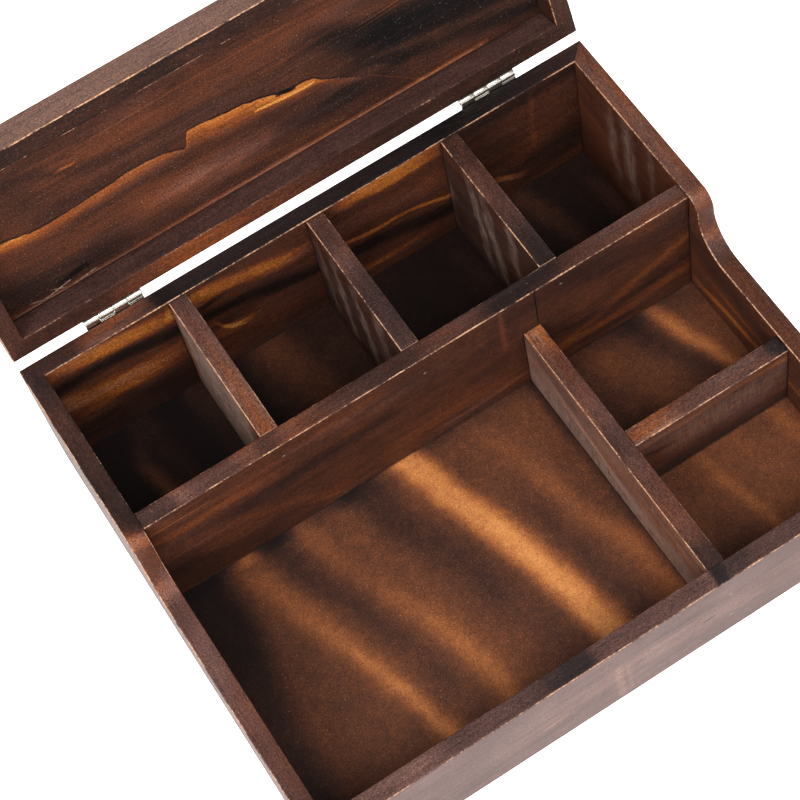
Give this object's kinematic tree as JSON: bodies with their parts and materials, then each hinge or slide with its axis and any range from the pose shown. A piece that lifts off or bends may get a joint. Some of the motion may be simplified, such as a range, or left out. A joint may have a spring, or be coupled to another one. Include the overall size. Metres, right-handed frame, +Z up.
{
  "type": "lidded sorting box",
  "caption": "Torched-wood desk box for sorting small parts: open trays behind a low front, and divided rear compartments under a hinged lid.",
  "frame": {"origin": "middle of the front board's bottom edge, which stands on the table", "axes": "+X to the user's right, +Y to the back, +Z up; the lid is modelled standing open"},
  "size_m": [0.305, 0.3067, 0.1856],
  "materials": {
    "torched_wood": "charred and brushed softwood under a dark satin varnish",
    "hardboard": "stained hardboard with scorched bands, low satin",
    "nickel": "bright nickel-plated steel",
    "brad_wire": "plain steel wire"
  },
  "bodies": {
    "base": {"left_side": "torched_wood", "right_side": "torched_wood", "front_board": "torched_wood", "back_board": "torched_wood", "middle_board": "torched_wood", "floor_panel": "hardboard", "rear_divider_left": "torched_wood", "rear_divider_centre": "torched_wood", "rear_divider_right": "torched_wood", "tray_divider_long": "torched_wood", "tray_divider_cross": "torched_wood", "brad_middle_left": "brad_wire", "brad_middle_centre": "brad_wire", "brad_middle_right": "brad_wire", "brad_back_left_upper": "brad_wire", "brad_back_left_lower": "brad_wire", "brad_back_centre_upper": "brad_wire", "brad_back_centre_lower": "brad_wire", "brad_back_right_upper": "brad_wire", "brad_back_right_lower": "brad_wire", "brad_front_upper": "brad_wire", "brad_front_lower": "brad_wire", "brad_middle_rear": "brad_wire", "brad_long_divider": "brad_wire", "brad_tray_upper": "brad_wire", "brad_tray_lower": "brad_wire", "brad_left_side_upper": "brad_wire", "brad_left_side_lower": "brad_wire", "brad_right_side_upper": "brad_wire", "brad_right_side_lower": "brad_wire", "hinge_left_base_leaf": "nickel", "hinge_left_pin": "nickel", "hinge_left_base_screw_1": "nickel", "hinge_left_base_screw_2": "nickel", "hinge_right_base_leaf": "nickel", "hinge_right_pin": "nickel", "hinge_right_base_screw_1": "nickel", "hinge_right_base_screw_2": "nickel"},
    "lid": {"lid_front_rail": "torched_wood", "lid_rear_rail": "torched_wood", "lid_left_rail": "torched_wood", "lid_right_rail": "torched_wood", "lid_panel": "torched_wood", "hinge_left_lid_leaf": "nickel", "hinge_left_lid_screw_1": "nickel", "hinge_left_lid_screw_2": "nickel", "hinge_right_lid_leaf": "nickel", "hinge_right_lid_screw_1": "nickel", "hinge_right_lid_screw_2": "nickel"}
  },
  "joints": [
    {"name": "lid_hinge", "type": "hinge", "parent": "base", "child": "lid", "pos_m": [0, 0.2546, 0.0857], "axis": [-1, 0, 0], "range_deg": [-108, 2]}
  ]
}
